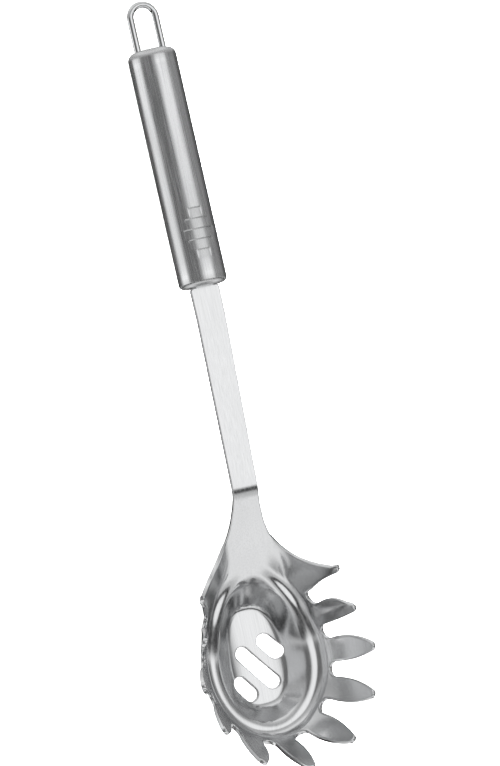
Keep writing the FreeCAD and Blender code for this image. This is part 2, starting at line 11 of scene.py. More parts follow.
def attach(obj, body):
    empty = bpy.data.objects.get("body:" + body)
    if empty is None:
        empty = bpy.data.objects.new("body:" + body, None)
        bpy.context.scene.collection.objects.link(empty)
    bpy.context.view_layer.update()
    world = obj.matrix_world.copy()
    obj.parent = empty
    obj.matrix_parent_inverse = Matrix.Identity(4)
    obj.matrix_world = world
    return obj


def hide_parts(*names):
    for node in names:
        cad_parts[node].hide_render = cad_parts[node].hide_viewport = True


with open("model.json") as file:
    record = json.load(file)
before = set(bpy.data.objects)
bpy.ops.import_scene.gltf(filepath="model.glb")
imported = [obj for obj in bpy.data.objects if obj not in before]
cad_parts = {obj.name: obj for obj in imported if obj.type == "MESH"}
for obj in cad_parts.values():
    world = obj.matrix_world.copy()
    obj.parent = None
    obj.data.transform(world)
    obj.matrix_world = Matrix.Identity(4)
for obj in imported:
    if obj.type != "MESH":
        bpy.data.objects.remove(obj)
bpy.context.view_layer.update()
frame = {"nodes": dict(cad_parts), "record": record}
scene = bpy.context.scene

# Sizes in millimetres and degrees, in the handle's frame: the handle's axis is Y, the strap leaves it
# at y = 0 towards -Y, and the front is +Z. They are the solids' own, apart from the grip ribs, which are
# shallower and softer here, and the bowl's floor, which is narrower and rounder.
MM = 0.001
HANDLE_LENGTH = 102.0
TUBE_RADIUS = 10.35
TUBE_WALL = 1.0
BORE_RADIUS = TUBE_RADIUS - TUBE_WALL
CAP_SKIRT = 2.0
CAP_DOME = 0.8
STRAP_EDGE_RADIUS = 2.4
LOOP_EDGE_RADIUS = 3.5
SEAM_ROOT = 0.6
SEAM_FLARE = 0.5
STRAP_CAP_END = STRAP_EDGE_RADIUS + CAP_SKIRT
LOOP_CAP_END = HANDLE_LENGTH - CAP_DOME - LOOP_EDGE_RADIUS - CAP_SKIRT
LOOP_CAP_FACE = HANDLE_LENGTH - CAP_DOME - TUBE_WALL

RIB_FIRST = 14.4
RIB_PITCH = 4.4
RIB_RAMP = 3.6
RIB_WALL = 0.66
RIB_DEPTH = 0.28
RIB_SPANS = [34.6, 73.0, 92.0, 73.0, 34.6]
RIB_FADES = [4.0, 10.0, 10.0, 10.0, 4.0]
# Rows of the tube's mesh at each rib, as shares of its ramp and of its wall
RIB_RAMP_SHARES = [0.0, 0.05, 0.15, 0.3, 0.45, 0.6, 0.75, 0.85, 0.92, 0.97]
RIB_WALL_SHARES = [0.0, 0.08, 0.3, 0.5, 0.7, 0.92, 1.0, 1.1]

WIRE_RADIUS = 1.5
LEG_OFFSET = 5.65
LOOP_HEIGHT = 20.8
LEG_INSIDE = 6.0
HOLE_CLEARANCE = 0.1

SHEET = 2.0
TANG_HALF = 4.3
TANG_LENGTH = 12.0
TANG_CLEARANCE = 0.15
STRAP_HALF = 6.5
STRAP_CORNER = 1.7
STRAP_STRAIGHT = 14.0
STRAP_LEAN = 4.8
FOLD_REACH = 88.0
FOLD_HALF = 5.75
NECK_SLOPE = 30.0
NECK_REACH = 72.7
FLARE_RADIUS = 44.0
NECK_FLAT_ANGLE = 10.0
WING_ANGLE = 45.0

BOWL_REACH = FOLD_REACH + NECK_REACH
BOWL_DEPTH = 41.0
# Floor and shoulder are ovals: radius at the far end, at the side and at the near end
FLOOR = (17.6, 12.0, 25.2)
FLOOR_SQUARENESS = 2.6
FLOOR_BLEND = 1.4
SHOULDER = (25.6, 20.6, 35.7)
SHOULDER_FAR_DROP = 33.6
SHOULDER_SIDE_DROP = 31.5
FLANGE_WIDTH = 5.3
FLANGE_RISE = 0.4
WALL_SHARE = 0.7
TINE_SHARE = 0.25
NECK_SOFTNESS = 0.1
TIP_SPARE = 3.0
TIP_FAR = 44.6
TIP_SIDE = 38.1
TIP_BACK = 32.0
WING_NEAR = 55.0
TIP_ROUND = 2.3
# Angles from the bowl's far end: the middle tine, four pairs of tines and the tips of the wings,
# then the gaps between them, and how far each gap goes down from the tips
TINES = [0.0, 28.0, 57.0, 87.0, 115.0, 138.5]
GAPS = [12.5, 42.0, 72.5, 105.0, 134.0]
GAP_DROPS = [28.8, 28.8, 26.9, 26.9, 24.5]
GAP_RADIUS = 3.1
LAST_TINE = TINES[-2]
WING_TIP = TINES[-1]
WING_GAP = GAPS[-1]

SLOT_OFFSET = 1.3
SLOT_ANGLE = 37.0
SLOT_PITCH = 10.5
SLOT_STAGGER = 1.8
SLOT_RADIUS = 3.2
SLOT_LONG = 24.0
SLOT_SHORT = 13.0

# The handle's frame, read from the grip mount
grip = next(mount for mount in frame["record"]["mounts"] if mount["name"] == "handle_grip")
ALONG = Vector(grip["axis"]).normalized()
ACROSS = Vector((1, 0, 0))
FRONT = ACROSS.cross(ALONG)
grip_middle = STRAP_EDGE_RADIUS + grip["dims"]["length_mm"] / 2
ORIGIN = Vector(grip["pos_m"]) - ALONG * grip_middle * MM
HANDLE = Matrix((ACROSS, ALONG, FRONT)).transposed().to_4x4()
HANDLE.translation = ORIGIN
TILT = math.atan2(ALONG.z, ALONG.y)


# Mesh helpers

TINY = 1e-6
SHARP_ANGLE = 35


def blend(start, end, share):
    """Value a share of the way between two values."""
    return start + (end - start) * share


def blend_point(start, end, share):
    """Point a share of the way between two points."""
    return tuple(blend(a, b, share) for a, b in zip(start, end))


def clamp(share):
    """Share kept between 0 and 1."""
    return min(max(share, 0.0), 1.0)


def add_mesh(bm, name):
    """Turns a mesh in handle millimetres into an object in its place."""
    mesh = bpy.data.meshes.new(name)
    bm.to_mesh(mesh)
    bm.free()
    mesh.transform(Matrix.Scale(MM, 4))
    placed = bpy.data.objects.new(name, mesh)
    scene.collection.objects.link(placed)
    placed.matrix_world = HANDLE
    return placed


def add_piece(bm, name, node, slot):
    """Turns a mesh in handle millimetres into a piece of the object that stands for one CAD node."""
    bmesh.ops.recalc_face_normals(bm, faces=bm.faces)
    piece = add_mesh(bm, name)
    piece.data.materials.append(MATERIALS[slot])
    piece.data.shade_smooth()
    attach(piece, "root")
    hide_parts(node)
    return piece


def mark_sharp(piece, angle=SHARP_ANGLE):
    """Keeps edges sharper than the angle sharp in the smooth shading."""
    piece.data.set_sharp_from_angle(angle=math.radians(angle))


def arc(centre, radius, start, end, steps):
    """Points (along, radius) on an arc, angles in degrees from the direction of the axis."""
    points = []
    for step in range(steps + 1):
        angle = math.radians(blend(start, end, step / steps))
        points.append((centre[0] + radius * math.cos(angle), centre[1] + radius * math.sin(angle)))
    return points


def turned(profile, steps, dent=None):
    """Turns (along, radius) corners about the handle's axis; corners on the axis become poles."""
    bm = bmesh.new()
    rings = []
    for along, radius in profile:
        if radius < TINY:
            rings.append([bm.verts.new((0, along, 0))])
            continue
        ring = []
        for step in range(steps):
            turn = 2 * math.pi * step / steps
            reach = radius
            if dent and radius > TUBE_RADIUS - TINY:
                reach -= dent(along, turn)
            ring.append(bm.verts.new((reach * math.sin(turn), along, reach * math.cos(turn))))
        rings.append(ring)
    closed = len(rings[0]) > 1
    pairs = list(zip(rings, rings[1:]))
    if closed:
        pairs.append((rings[-1], rings[0]))
    for ring, following in pairs:
        for step in range(steps):
            after = (step + 1) % steps
            corners = [ring[step % len(ring)], ring[after % len(ring)]]
            corners += [following[after % len(following)], following[step % len(following)]]
            corners = list(dict.fromkeys(corners))
            if len(corners) > 2:
                bm.faces.new(corners)
    return bm


# Steel finishes: brush marks run along the handle's axis, clouds are one to three centimetres wide.
# Tones are shares of the steel's own colour.

STREAK_SCALE = (2600, 60, 2600)
STREAK_DETAIL = 3.0
STREAK_DEPTH = 0.00002
DARK_STREAK = 0.93
LIGHT_STREAK = 1.05
CLOUD_SCALE = (90, 40, 90)
CLOUD_DETAIL = 4.0
NOISE_REACH = (0.3, 0.7)
EDGE_REACH = (0.52, 0.60)
WORN_EDGE = 1.15


def steel(name, color, roughness, brush, polish):
    """Steel with fine marks along the handle's axis, a slow cloudiness, and edges worn bright and smooth."""
    material = bpy.data.materials.new(name)
    material.use_nodes = True
    nodes, links = material.node_tree.nodes, material.node_tree.links
    shader = nodes["Principled BSDF"]
    shader.inputs["Metallic"].default_value = 1.0
    place = nodes.new("ShaderNodeTexCoord")
    shape = nodes.new("ShaderNodeNewGeometry")

    def marks(scale, detail):
        """Noise stretched along the handle's axes."""
        mapping = nodes.new("ShaderNodeMapping")
        mapping.inputs["Scale"].default_value = scale
        links.new(place.outputs["Object"], mapping.inputs["Vector"])
        noise = nodes.new("ShaderNodeTexNoise")
        noise.inputs["Scale"].default_value = 1.0
        noise.inputs["Detail"].default_value = detail
        links.new(mapping.outputs["Vector"], noise.inputs["Vector"])
        return noise.outputs["Fac"]

    def spread(source, reach, low, high):
        """Value spread from its own reach over the range from low to high."""
        mapped = nodes.new("ShaderNodeMapRange")
        mapped.inputs["From Min"].default_value = reach[0]
        mapped.inputs["From Max"].default_value = reach[1]
        mapped.inputs["To Min"].default_value = low
        mapped.inputs["To Max"].default_value = high
        links.new(source, mapped.inputs["Value"])
        return mapped.outputs["Result"]

    def shade(share):
        """The steel's colour, darker or lighter."""
        return [min(channel * share, 1) for channel in color] + [1]

    def mix(factor, first, second):
        """Colour between two colours."""
        mixed = nodes.new("ShaderNodeMix")
        mixed.data_type = "RGBA"
        links.new(factor, mixed.inputs["Factor"])
        for socket, value in (("A", first), ("B", second)):
            if isinstance(value, list):
                mixed.inputs[socket].default_value = value
            else:
                links.new(value, mixed.inputs[socket])
        return mixed.outputs["Result"]

    def add(first, second):
        """Sum of two values."""
        total = nodes.new("ShaderNodeMath")
        links.new(first, total.inputs[0])
        links.new(second, total.inputs[1])
        return total.outputs["Value"]

    streaks = marks(STREAK_SCALE, STREAK_DETAIL)
    clouds = marks(CLOUD_SCALE, CLOUD_DETAIL)
    edges = shape.outputs["Pointiness"]
    grain = mix(spread(streaks, NOISE_REACH, 0, 1), shade(DARK_STREAK), shade(LIGHT_STREAK))
    worn = mix(spread(edges, EDGE_REACH, 0, 1), grain, shade(WORN_EDGE))
    links.new(worn, shader.inputs["Base Color"])

    brushed = spread(streaks, NOISE_REACH, roughness - brush, roughness + brush)
    clouded = add(brushed, spread(clouds, NOISE_REACH, -polish, polish))
    links.new(add(clouded, spread(edges, EDGE_REACH, 0, -polish)), shader.inputs["Roughness"])

    bump = nodes.new("ShaderNodeBump")
    bump.inputs["Strength"].default_value = brush
    bump.inputs["Distance"].default_value = STREAK_DEPTH
    links.new(streaks, bump.inputs["Height"])
    links.new(bump.outputs["Normal"], shader.inputs["Normal"])
    return material


MATERIALS = {
    "polished_steel": steel("polished_steel", (0.58, 0.585, 0.59), roughness=0.17, brush=0.03, polish=0.03),
    "satin_steel": steel("satin_steel", (0.52, 0.525, 0.53), roughness=0.28, brush=0.10, polish=0.04),
    "bright_wire": steel("bright_wire", (0.56, 0.565, 0.57), roughness=0.09, brush=0.03, polish=0.03),
    "weld_bead": steel("weld_bead", (0.55, 0.54, 0.53), roughness=0.40, brush=0.05, polish=0.10),
}


# Handle

TUBE_STEPS = 360
CAP_STEPS = 180
STRAP_EDGE_STEPS = 12
STRAP_INSIDE_STEPS = 8
LOOP_EDGE_STEPS = 14
DOME_STEPS = 6
HOLE_STEPS = 48
ARCH_STEPS = 48
WIRE_STEPS = 32
SLOT_CUTTER_LENGTH = 4 * TUBE_WALL
HOLE_CUTTER_LENGTH = 4 * LOOP_EDGE_RADIUS


def rib_dent(along, turn):
    """Depth of the pressed grip ribs: each falls off steeply on its loop side and rises slowly again."""
    turn = abs(math.degrees(turn if turn < math.pi else turn - 2 * math.pi))
    for index, (span, fade_span) in enumerate(zip(RIB_SPANS, RIB_FADES)):
        before_wall = RIB_FIRST + RIB_PITCH * index - along
        if -RIB_WALL < before_wall < RIB_RAMP:
            end_share = clamp((span / 2 - turn) / fade_span)
            fade = math.sin(math.pi / 2 * end_share) ** 2
            if before_wall > 0:
                return fade * RIB_DEPTH * (1 - before_wall / RIB_RAMP)
            return fade * RIB_DEPTH * (1 + before_wall / RIB_WALL)
    return 0.0


def make_tube():
    """Tube between the two seams, with the grip ribs pressed in and ends that slope to the seams."""
    start = STRAP_CAP_END + SEAM_ROOT
    end = LOOP_CAP_END - SEAM_ROOT
    ramp_places = [RIB_RAMP * (share - 1) for share in RIB_RAMP_SHARES]
    wall_places = [RIB_WALL * share for share in RIB_WALL_SHARES]
    outside = [(start + SEAM_FLARE, TUBE_RADIUS)]
    for index in range(len(RIB_SPANS)):
        deepest = RIB_FIRST + RIB_PITCH * index
        outside += [(deepest + place, TUBE_RADIUS) for place in ramp_places + wall_places]
    outside += [(end - SEAM_FLARE, TUBE_RADIUS)]
    bm = turned(outside + [(end, BORE_RADIUS), (start, BORE_RADIUS)], TUBE_STEPS, rib_dent)
    mark_sharp(add_piece(bm, "tube", "handle_tube", "satin_steel"))


def cut_from(piece, cutters):
    """Cuts closed tools out of a piece and removes the tools."""
    for cutter in cutters:
        modifier = piece.modifiers.new("hole", "BOOLEAN")
        modifier.operation = "DIFFERENCE"
        modifier.solver = "EXACT"
        modifier.object = cutter
    depsgraph = bpy.context.evaluated_depsgraph_get()
    mesh = bpy.data.meshes.new_from_object(piece.evaluated_get(depsgraph))
    piece.modifiers.clear()
    piece.data = mesh
    mesh.shade_smooth()
    mark_sharp(piece)
    for cutter in cutters:
        bpy.data.objects.remove(cutter)


def make_strap_cap():
    """Flat, round-edged cap with the slot for the tang."""
    inner_radius = STRAP_EDGE_RADIUS - TUBE_WALL
    edge = (STRAP_EDGE_RADIUS, TUBE_RADIUS - STRAP_EDGE_RADIUS)
    profile = [(0.0, 0.0)] + arc(edge, STRAP_EDGE_RADIUS, 180, 90, STRAP_EDGE_STEPS)
    profile += [(STRAP_CAP_END - SEAM_FLARE, TUBE_RADIUS), (STRAP_CAP_END, BORE_RADIUS)]
    profile += arc(edge, inner_radius, 90, 180, STRAP_INSIDE_STEPS) + [(TUBE_WALL, 0.0)]
    cap = add_piece(turned(profile, CAP_STEPS), "strap_cap", "strap_end_cap", "satin_steel")
    bm = bmesh.new()
    size = (2 * (TANG_HALF + TANG_CLEARANCE), SLOT_CUTTER_LENGTH, SHEET + 2 * TANG_CLEARANCE)
    bmesh.ops.create_cube(bm, size=1, matrix=Matrix.Diagonal((*size, 1)))
    cut_from(cap, [add_mesh(bm, "cutter")])


def make_loop_cap():
    """Domed, round-edged cap with two holes for the wire."""
    dome_radius = (TUBE_RADIUS ** 2 + CAP_DOME ** 2) / (2 * CAP_DOME)
    dome_centre = HANDLE_LENGTH - dome_radius
    edge_radius = LOOP_EDGE_RADIUS
    centre_radius = TUBE_RADIUS - edge_radius
    centre_along = dome_centre + math.sqrt((dome_radius - edge_radius) ** 2 - centre_radius ** 2)
    meet = math.degrees(math.atan2(centre_radius, centre_along - dome_centre))
    profile = [(LOOP_CAP_FACE, 0.0), (LOOP_CAP_FACE, BORE_RADIUS), (LOOP_CAP_END, BORE_RADIUS)]
    profile.append((LOOP_CAP_END + SEAM_FLARE, TUBE_RADIUS))
    profile += arc((centre_along, centre_radius), edge_radius, 90, meet, LOOP_EDGE_STEPS)
    profile += arc((dome_centre, 0.0), dome_radius, meet, 0, DOME_STEPS)[1:-1] + [(HANDLE_LENGTH, 0.0)]
    cap = add_piece(turned(profile, CAP_STEPS), "loop_cap", "loop_end_cap", "satin_steel")
    hole_radius = WIRE_RADIUS + HOLE_CLEARANCE
    along_handle = Matrix.Rotation(math.pi / 2, 4, "X")
    holes = []
    for side in (-1, 1):
        bm = bmesh.new()
        place = Matrix.Translation((side * LEG_OFFSET, HANDLE_LENGTH, 0)) @ along_handle
        bmesh.ops.create_cone(
            bm, cap_ends=True, segments=HOLE_STEPS, depth=HOLE_CUTTER_LENGTH,
            radius1=hole_radius, radius2=hole_radius, matrix=place)
        holes.append(add_mesh(bm, "cutter"))
    cut_from(cap, holes)


def make_seam(name, node, root_start):
    """Ring of weld between a cap and the tube, ground flush."""
    root_end = root_start + SEAM_ROOT
    profile = [(root_start - SEAM_FLARE, TUBE_RADIUS), (root_end + SEAM_FLARE, TUBE_RADIUS)]
    profile += [(root_end, BORE_RADIUS), (root_start, BORE_RADIUS)]
    mark_sharp(add_piece(turned(profile, CAP_STEPS), name, node, "satin_steel"))


def make_loop():
    """Round wire swept up one leg, round the arch and down the other leg."""
    bend = HANDLE_LENGTH + LOOP_HEIGHT - LEG_OFFSET - WIRE_RADIUS
    foot = LOOP_CAP_FACE - LEG_INSIDE
    path = [((LEG_OFFSET, foot), 0.0)]
    for step in range(ARCH_STEPS + 1):
        angle = math.pi * step / ARCH_STEPS
        path.append(((LEG_OFFSET * math.cos(angle), bend + LEG_OFFSET * math.sin(angle)), angle))
    path.append(((-LEG_OFFSET, foot), math.pi))
    bm = bmesh.new()
    rings = []
    for (x, y), angle in path:
        ring = []
        for step in range(WIRE_STEPS):
            turn = 2 * math.pi * step / WIRE_STEPS
            out = WIRE_RADIUS * math.cos(turn)
            ring.append(bm.verts.new((x + out * math.cos(angle), y + out * math.sin(angle),
                                      WIRE_RADIUS * math.sin(turn))))
        rings.append(ring)
    for ring, following in zip(rings, rings[1:]):
        for step in range(WIRE_STEPS):
            after = (step + 1) % WIRE_STEPS
            bm.faces.new((ring[step], ring[after], following[after], following[step]))
    bm.faces.new(rings[0])
    bm.faces.new(rings[-1])
    mark_sharp(add_piece(bm, "loop", "hanging_loop", "bright_wire"))


# Server head: its front face follows the solid's formulas, apart from a slightly hollow floor and a rounder
# fold. It stops short of the outline by the radius of the rounded edge, which is added all round.
# Places on the profile run from 0, the floor's edge, to SPANS, the tip.

EDGE = 0.4
EDGE_TURNS = [30, 60, 90]
HEAD_SHARP_ANGLE = 60
MERGE_DISTANCE = 0.002
FLOOR_HOLLOW = 0.012
FLOOR_TOP_PLACE = 1.6
FOLD_ROUND = 3.0
GAP_MARGIN = 0.8
STRAP_GRADE = math.tan(math.radians(STRAP_LEAN))
NECK_GRADE = math.tan(math.radians(NECK_SLOPE))
SPANS = 6
FLANGE_PLACE = 3.5
HALVINGS = 40


def middle_height(reach):
    """Height of the front face along strap and neck, with a small round where they fold."""
    if reach < STRAP_STRAIGHT:
        return SHEET / 2
    strap = SHEET / 2 - (reach - STRAP_STRAIGHT) * STRAP_GRADE
    past = reach - FOLD_REACH + FOLD_ROUND
    if past < 0:
        return strap
    if past < 2 * FOLD_ROUND:
        turned_down = past ** 2 / (4 * FOLD_ROUND)
    else:
        turned_down = past - FOLD_ROUND
    return strap - turned_down * (NECK_GRADE - STRAP_GRADE)


def oval(angle, far, side, near, squareness=2.0):
    """Radius of an egg-shaped oval at an angle from its far end; above 2 it is squarer."""
    end = far if math.cos(angle) > 0 else near
    across = abs(math.sin(angle) / side) ** squareness
    along = abs(math.cos(angle) / end) ** squareness
    return (across + along) ** (-1 / squareness)


def tip_oval(angle):
    """Radius of the outline through the tips: an oval round the tines that widens into the wings."""
    tines = oval(angle, TIP_FAR, TIP_SIDE, TIP_BACK)
    wings = oval(angle, TIP_FAR, TIP_SIDE, WING_NEAR)
    share = clamp((math.degrees(angle) - LAST_TINE) / (WING_GAP - LAST_TINE))
    return blend(tines, wings, math.sin(math.pi / 2 * share) ** 2)


def floor_height(x):
    """Height of the floor, slightly hollow across, at a distance from the middle line."""
    return FLOOR_HOLLOW * x ** 2 - BOWL_DEPTH


def head_profile(angle):
    """Corners (radius, height) of the front face on a half plane through the bowl's centre, from the floor's
    edge to a little above the tips."""
    angle = abs(angle)
    wing_share = clamp((180 - math.degrees(angle) - NECK_FLAT_ANGLE) / (WING_ANGLE - NECK_FLAT_ANGLE))
    soft_share = wing_share ** 2 * (1 + NECK_SOFTNESS) / (wing_share + NECK_SOFTNESS)
    upright = math.sin(math.pi / 2 * soft_share)

    def neck_at(radius):
        """Height of the neck's flat at a radius."""
        return middle_height(BOWL_REACH + radius * math.cos(angle))

    floor_radius = oval(angle, *FLOOR, FLOOR_SQUARENESS)
    shoulder_radius = oval(angle, *SHOULDER)
    near_height = middle_height(BOWL_REACH - SHOULDER[2])
    end_height = -SHOULDER_FAR_DROP if math.cos(angle) > 0 else near_height
    shoulder_height = blend(-SHOULDER_SIDE_DROP, end_height, math.cos(angle) ** 2)
    root_radius = shoulder_radius + FLANGE_WIDTH
    root_height = blend(neck_at(root_radius), shoulder_height + FLANGE_RISE, upright)
    tip_radius = tip_oval(angle)
    spare_radius = tip_radius + TIP_SPARE * (tip_radius - root_radius) / SHOULDER_SIDE_DROP
    tip_height = blend(neck_at(spare_radius), TIP_SPARE, upright)

    floor_edge_radius = floor_radius - FLOOR_BLEND
    floor_edge = (floor_edge_radius, floor_height(floor_edge_radius * math.sin(angle)))
    floor_grade = 2 * FLOOR_HOLLOW * floor_edge_radius * math.sin(angle) ** 2
    foot = (floor_radius, floor_edge[1] + FLOOR_BLEND * floor_grade)
    shoulder = (shoulder_radius, shoulder_height)
    root = (root_radius, root_height)
    tip = (spare_radius, tip_height)
    foot_top = blend_point(foot, shoulder, 2 * FLOOR_BLEND / math.dist(foot, shoulder))
    wall = blend_point(foot, shoulder, WALL_SHARE)
    tine = blend_point(root, tip, TINE_SHARE)
    return [floor_edge, foot, foot_top, wall, shoulder, root, tine, tip]


def on_profile(corners, place):
    """Point (radius, height) of the smooth profile at a place."""
    span = min(int(place), SPANS - 1)
    share = place - span
    start = corners[0] if span == 0 else blend_point(corners[span], corners[span + 1], 0.5)
    end = corners[-1] if span == SPANS - 1 else blend_point(corners[span + 1], corners[span + 2], 0.5)
    middle = corners[span + 1]
    return blend_point(blend_point(start, middle, share), blend_point(middle, end, share), share)


def place_of(corners, value, axis, low):
    """Place on the profile, from a lowest one up, where its radius or height (axis 0 or 1) has a value."""
    high = SPANS
    for halving in range(HALVINGS):
        middle = (low + high) / 2
        if on_profile(corners, middle)[axis] < value:
            low = middle
        else:
            high = middle
    return (low + high) / 2


def at_place(angle, place):
    """Point of the front face at an angle from the far end and a place on the profile."""
    radius, height = on_profile(head_profile(angle), place)
    return Vector((radius * math.sin(angle), -BOWL_REACH - radius * math.cos(angle), height))


def height_place(angle, height):
    """Place of a height on the tines or the flange below them."""
    return place_of(head_profile(angle), height, 1, FLANGE_PLACE)


def surface_height(x, y):
    """Height of the front face over a point of the bowl, wings or neck."""
    reach = -y - BOWL_REACH
    radius = math.hypot(x, reach)
    corners = head_profile(math.atan2(x, reach))
    if radius <= corners[0][0]:
        return floor_height(x)
    if radius >= corners[-1][0]:
        return middle_height(-y)
    return on_profile(corners, place_of(corners, radius, 0, 0))[1]


# Gaps between the tines: round at the bottom, with sides that are long arcs, and the rounded tips beside them

BOTTOM_LEVELS = 6
SIDE_LEVELS = 9
TIP_LEVELS = 6
EDGE_REPEATS = 4
FACE_GAP_RADIUS = GAP_RADIUS + EDGE
FACE_TIP_ROUND = TIP_ROUND - EDGE


def gap_spring(gap):
    """Height where the round bottom of a gap ends."""
    return GAP_RADIUS - GAP_DROPS[GAPS.index(abs(gap))]


def below_gap(gap):
    """Height of the row of points just below a gap."""
    return gap_spring(gap) - FACE_GAP_RADIUS - GAP_MARGIN


def tine_side(gap, tine):
    """Distance from a gap to the middle of the tine beside it, and the radius and turn of the arc
    that runs from the gap's round bottom up the tine's side into its round tip."""
    middle = tip_oval(math.radians(tine)) * math.sin(math.radians(abs(tine - gap)))
    reach = middle - GAP_RADIUS
    rise = -TIP_ROUND - gap_spring(gap)
    radius = (reach ** 2 + rise ** 2 - TIP_ROUND ** 2) / (2 * (reach - TIP_ROUND))
    return middle, radius, math.atan(rise / (radius - reach))


def gap_half(gap, tine, height):
    """Half width of a gap towards the tine beside it, at a height."""
    above = height - gap_spring(gap)
    middle, radius, turn = tine_side(gap, tine)
    if above < 0:
        return math.sqrt(max(FACE_GAP_RADIUS ** 2 - above ** 2, 0))
    if height < FACE_TIP_ROUND * math.sin(turn) - TIP_ROUND:
        return GAP_RADIUS + radius - math.copysign(math.sqrt((radius - EDGE) ** 2 - above ** 2), radius)
    return middle - math.sqrt(max(FACE_TIP_ROUND ** 2 - (height + TIP_ROUND) ** 2, 0))


def gap_levels(gap, tine):
    """Heights up the side of a gap, from just below its bottom to the tip of the tine beside it."""
    spring = gap_spring(gap)
    turn = tine_side(gap, tine)[2]
    tip_start = FACE_TIP_ROUND * math.sin(turn) - TIP_ROUND
    levels = [below_gap(gap)]
    for step in range(BOTTOM_LEVELS):
        levels.append(spring - FACE_GAP_RADIUS * math.cos(math.pi / 2 * step / BOTTOM_LEVELS))
    levels += [blend(spring, tip_start, step / SIDE_LEVELS) for step in range(SIDE_LEVELS)]
    for step in range(TIP_LEVELS + 1):
        levels.append(FACE_TIP_ROUND * math.sin(blend(turn, math.pi / 2, step / TIP_LEVELS)) - TIP_ROUND)
    return levels


def gap_edge(gap, tine, height):
    """Angle, in radians, where the edge of a tine beside a gap lies at a height."""
    side = math.copysign(1, tine - gap)
    angle = math.radians(gap)
    half = gap_half(gap, tine, height)
    for repeat in range(EDGE_REPEATS):
        radius = on_profile(head_profile(angle), height_place(angle, height))[0]
        angle = math.radians(gap) + side * math.asin(half / radius)
    middle = math.radians(tine)
    return min(angle, middle) if side > 0 else max(angle, middle)


# Patches of the front face

INNER_PLACES = [FLOOR_TOP_PLACE, 1.75, 2.0, 2.25, 2.5, 2.75, 3.0, 3.15, 3.3, 3.45, 3.6, 3.75, 3.9, 4.0]
FLANGE_ROWS = 5
TINE_COLUMNS = 12
NECK_COLUMNS = 28
CROSS_COLUMNS = 8
CROSS_REACH = 108.0
NECK_STRIP_ROWS = 10
NECK_TOP_PLACE = 4.5
# Rows beside the fold, in multiples of its rounding
FOLD_STEPS = (0, 0.5, 1, 2, 4)
STRAP_ROWS = 16
STRAP_BEND_STEPS = (3, 1.5, 0, -1.5, -3)
STRAP_UPPER_ROWS = 4
STRAP_CORNER_ROWS = 8
# Length over which the strap steps in to the width of the tang
TANG_STEP = 0.01


def sector_angles(first, last, columns):
    """Angles in radians of the columns between two angles in degrees."""
    return [math.radians(blend(first, last, column / columns)) for column in range(columns + 1)]


def top_place(angle, first, last):
    """Place on the profile of the row below the gaps, between two gaps or a gap and the neck."""
    start = height_place(math.radians(first), below_gap(first))
    if last is None:
        return blend(start, NECK_TOP_PLACE, (math.degrees(angle) - first) / (180 - first))
    end = height_place(math.radians(last), below_gap(last))
    return blend(start, end, (math.degrees(angle) - first) / (last - first))


def inner_rows(angles, first, last):
    """Rows from the floor's edge up the wall and out to the row below the gaps."""
    rows = [[at_place(angle, place) for angle in angles] for place in INNER_PLACES]
    tops = [top_place(angle, first, last) for angle in angles]
    for step in range(1, FLANGE_ROWS + 1):
        places = [blend(INNER_PLACES[-1], top, step / FLANGE_ROWS) for top in tops]
        rows.append([at_place(angle, place) for angle, place in zip(angles, places)])
    return rows


def tine_rows(tine, first, last):
    """Rows up one tine, between the edges of the gaps on either side."""
    rows = []
    for low, high in zip(gap_levels(first, tine), gap_levels(last, tine)):
        start = gap_edge(first, tine, low)
        end = gap_edge(last, tine, high)
        start_place = height_place(start, low)
        end_place = height_place(end, high)
        row = []
        for column in range(TINE_COLUMNS + 1):
            share = column / TINE_COLUMNS
            row.append(at_place(blend(start, end, share), blend(start_place, end_place, share)))
        rows.append(row)
    return rows


def wing_edge():
    """Points up the wing's side of the last gap to the wing's tip."""
    points = []
    for height in gap_levels(WING_GAP, WING_TIP):
        angle = gap_edge(WING_GAP, WING_TIP, height)
        points.append(at_place(angle, height_place(angle, height)))
    return points


def neck_edge(tip):
    """Points from the wing's tip along the hollow side of the neck, then across to the neck's middle."""
    radius = FLARE_RADIUS + EDGE
    centre = FOLD_HALF + FLARE_RADIUS
    tip_turn = math.atan2(-tip.y - FOLD_REACH, centre - tip.x)
    cross_turn = math.asin((CROSS_REACH - FOLD_REACH) / radius)
    flare_columns = NECK_COLUMNS - CROSS_COLUMNS
    points = [tip]
    for column in range(1, flare_columns + 1):
        turn = blend(tip_turn, cross_turn, column / flare_columns)
        points.append(Vector((centre - radius * math.cos(turn), -FOLD_REACH - radius * math.sin(turn), 0)))
    half = points[-1].x
    for column in range(1, CROSS_COLUMNS + 1):
        points.append(Vector((half * (1 - column / CROSS_COLUMNS), -CROSS_REACH, 0)))
    return points


def neck_strip_rows():
    """Rows from the neck's narrow part up to the fold."""
    near_fold = [FOLD_REACH + FOLD_ROUND * step for step in FOLD_STEPS]
    lower = [blend(CROSS_REACH, near_fold[-1], step / NECK_STRIP_ROWS) for step in range(NECK_STRIP_ROWS)]
    rows = []
    for reach in lower + near_fold[::-1]:
        half = FOLD_HALF + FLARE_RADIUS - math.sqrt((FLARE_RADIUS + EDGE) ** 2 - (reach - FOLD_REACH) ** 2)
        across = [half * (1 - column / CROSS_COLUMNS) for column in range(CROSS_COLUMNS + 1)]
        rows.append([Vector((x, -reach, surface_height(x, -reach))) for x in across])
    return rows


